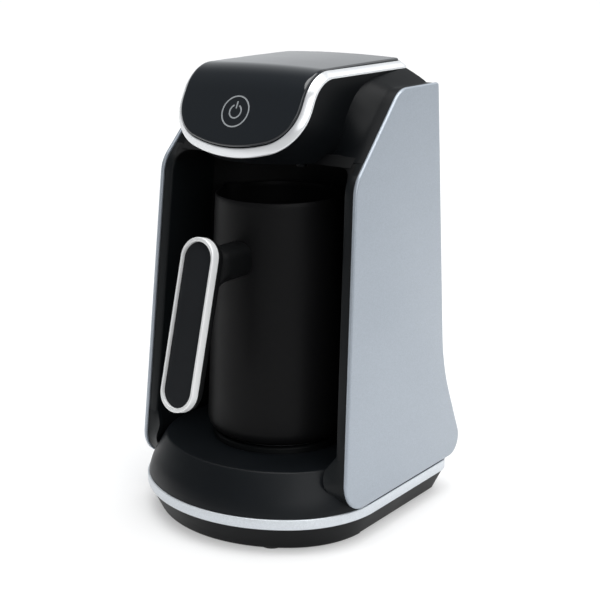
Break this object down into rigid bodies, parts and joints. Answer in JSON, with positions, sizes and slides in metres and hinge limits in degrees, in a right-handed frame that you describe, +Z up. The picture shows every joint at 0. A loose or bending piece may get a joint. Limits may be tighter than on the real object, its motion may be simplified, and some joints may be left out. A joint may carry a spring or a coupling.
{
  "type": "electric turkish coffee maker",
  "caption": "Electric Turkish coffee maker: a silver-sided black cabinet with a heated bay and a sloping touch panel, and a lift-out pot with a chrome-rimmed grip.",
  "frame": {"origin": "centre of the overall width and depth, on the surface that the rubber feet stand on", "axes": "+Z up, -Y to the front where the pot's grip is, +X to the right as seen from the front"},
  "size_m": [0.152, 0.1798, 0.2645],
  "materials": {
    "silver_paint": "satin silver-grey metallic paint on moulded plastic",
    "black_plastic": "satin black moulded plastic with a faint blue tone",
    "dark_plastic": "matt black moulded plastic",
    "black_gloss": "high-gloss blue-black panel",
    "chrome": "bright chrome plating on plastic",
    "grey_print": "light grey printed symbol",
    "coated_steel": "steel with a satin black non-stick coating",
    "aluminium": "bare cast aluminium",
    "plain_steel": "plain stainless steel",
    "screw_steel": "zinc-plated steel",
    "rubber": "matt black rubber",
    "red_silicone": "red silicone rubber",
    "circuit_board": "green circuit board laminate",
    "dark_lens": "dark red infra-red window",
    "pale_ceramic": "pale unglazed ceramic",
    "blue_plastic": "blue moulded plastic",
    "yellow_tape": "yellow insulating tape round a winding",
    "green_plastic": "green moulded plastic"
  },
  "bodies": {
    "housing": {"lower_base": "black_plastic", "rubber_feet": "rubber", "base_screws": "screw_steel", "base_band": "silver_paint", "base_deck": "black_plastic", "side_panel_right": "silver_paint", "side_panel_left": "silver_paint", "arm_right": "black_plastic", "arm_left": "black_plastic", "bay_liner": "dark_plastic", "bay_ceiling": "dark_plastic", "rear_cover": "black_plastic", "rear_screws": "screw_steel", "cord_gland": "rubber", "top_cover": "black_plastic", "head_tray": "dark_plastic", "head_trim": "chrome", "control_panel": "black_gloss", "power_symbol": "grey_print", "touch_board": "circuit_board", "touch_screws": "screw_steel", "touch_spring": "screw_steel", "buzzer": "dark_plastic", "foam_sensor": "dark_lens", "foam_board": "circuit_board", "head_screws": "screw_steel", "heater_collar": "dark_plastic", "heating_plate": "aluminium", "heater_gasket": "red_silicone", "heating_element": "aluminium", "heater_clamp": "plain_steel", "heater_screws": "screw_steel", "thermal_fuse": "pale_ceramic", "sensor_spring": "plain_steel", "sensor_bracket": "dark_plastic", "power_board": "circuit_board", "board_screws": "screw_steel", "relay": "blue_plastic", "transformer": "yellow_tape", "capacitor": "blue_plastic", "terminal_block": "green_plastic", "heater_leads": "red_silicone", "panel_cable": "rubber"},
    "pot": {"pot_body": "coated_steel", "pot_disc": "plain_steel", "handle_neck": "black_plastic", "handle_bracket": "plain_steel", "handle_grip": "black_plastic", "handle_rim": "chrome", "handle_insert": "black_plastic", "handle_screws": "screw_steel"},
    "sensor": {"temperature_sensor": "plain_steel"}
  },
  "joints": [
    {"name": "pot_slide", "type": "slide", "parent": "housing", "child": "pot", "axis": [0, -1, 0], "range_m": [0, 0.13]},
    {"name": "sensor_press", "type": "slide", "parent": "housing", "child": "sensor", "axis": [0, 0, -1], "range_m": [0, 0.001], "stiffness_N_per_m": 300, "springref_m": -0.003, "deforming": ["sensor_spring"]}
  ]
}
